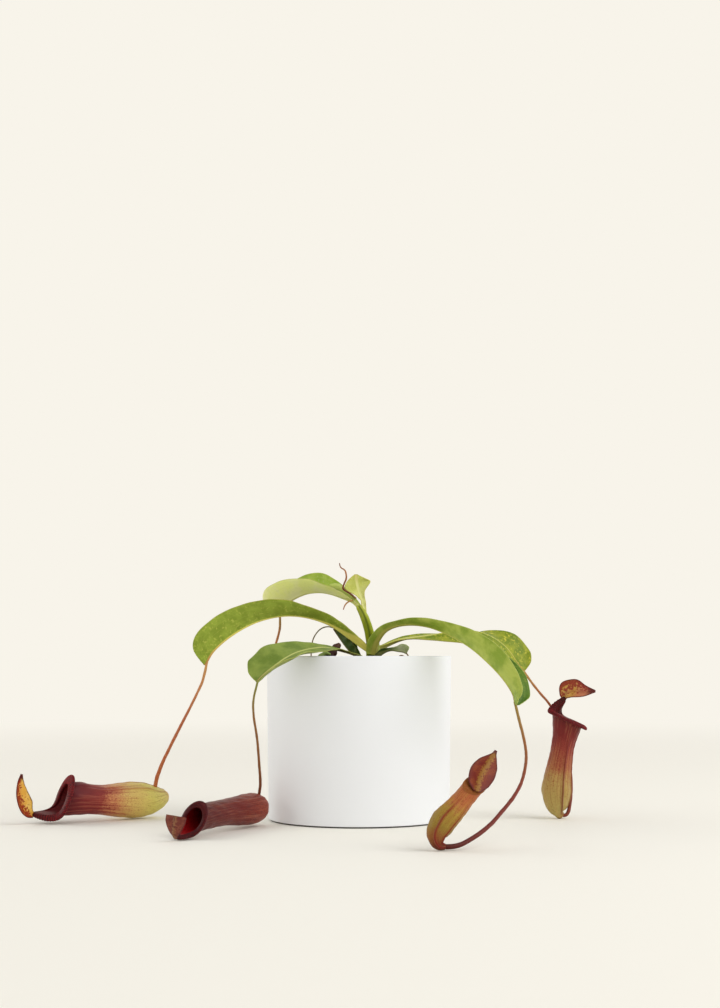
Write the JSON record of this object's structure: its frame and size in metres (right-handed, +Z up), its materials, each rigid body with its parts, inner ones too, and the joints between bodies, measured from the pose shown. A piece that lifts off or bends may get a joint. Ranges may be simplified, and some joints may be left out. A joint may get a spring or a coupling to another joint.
{
  "type": "potted pitcher plant",
  "caption": "Tropical pitcher plant in a plain round pot: folded leathery leaves run on as tendrils that end in lidded pitchers round the pot.",
  "frame": {"origin": "centre of the underside of the pot", "axes": "+Z up; -Y towards the viewer of the picture; +X to that viewer's right, along the plant's widest spread"},
  "size_m": [0.5063, 0.3414, 0.2291],
  "materials": {
    "pot": "matte white glaze",
    "soil": "damp bark and coir chips, matte",
    "stem": "smooth green stem, semi-gloss",
    "leaf_green": "leathery leaf, semi-gloss",
    "leaf_blue_green": "leathery leaf with a matte sheen",
    "leaf_pale": "pale leathery leaf",
    "leaf_young": "soft young leaf",
    "leaf_dark": "dark leathery leaf",
    "tendril_tan": "smooth tan tendril",
    "tendril_brown": "smooth brown tendril",
    "tendril_red": "smooth dark red tendril",
    "dry_brown": "dry brown tissue, matte",
    "lid_speckled": "yellow-orange with red speckles, semi-gloss",
    "lid_brown": "red-brown, semi-gloss",
    "pitcher_red": "maroon fading to yellow-olive, semi-gloss",
    "pitcher_dark": "dark red-brown, satin",
    "pitcher_olive": "olive-gold flushed with red, semi-gloss"
  },
  "bodies": {
    "root": {"pot": "pot", "soil": "soil", "stem": "stem", "leaf_left_large": "leaf_green", "leaf_left_small": "leaf_blue_green", "leaf_right_front": "leaf_green", "leaf_right_back": "leaf_green", "leaf_top": "leaf_pale", "leaf_youngest": "leaf_young", "leaf_crown_left": "leaf_dark", "leaf_crown_right": "leaf_blue_green", "leaf_rolled": "leaf_young", "tendril_left_large": "tendril_tan", "tendril_left_small": "tendril_brown", "tendril_right_front": "tendril_red", "tendril_right_back": "tendril_tan", "tendril_top": "tendril_tan", "tendril_youngest": "tendril_red", "tendril_hook": "tendril_tan", "tendril_crown_left": "tendril_brown", "tendril_crown_right": "tendril_brown", "pitcher_dried": "dry_brown", "scrap_left": "leaf_blue_green", "scrap_right": "dry_brown", "lid_far_left": "lid_speckled", "lid_left_front": "lid_brown", "lid_centre_young": "lid_brown", "lid_right": "lid_speckled", "pitcher_far_left": "pitcher_red", "pitcher_left_front": "pitcher_dark", "pitcher_centre_young": "pitcher_olive", "pitcher_right": "pitcher_red"}
  },
  "joints": []
}
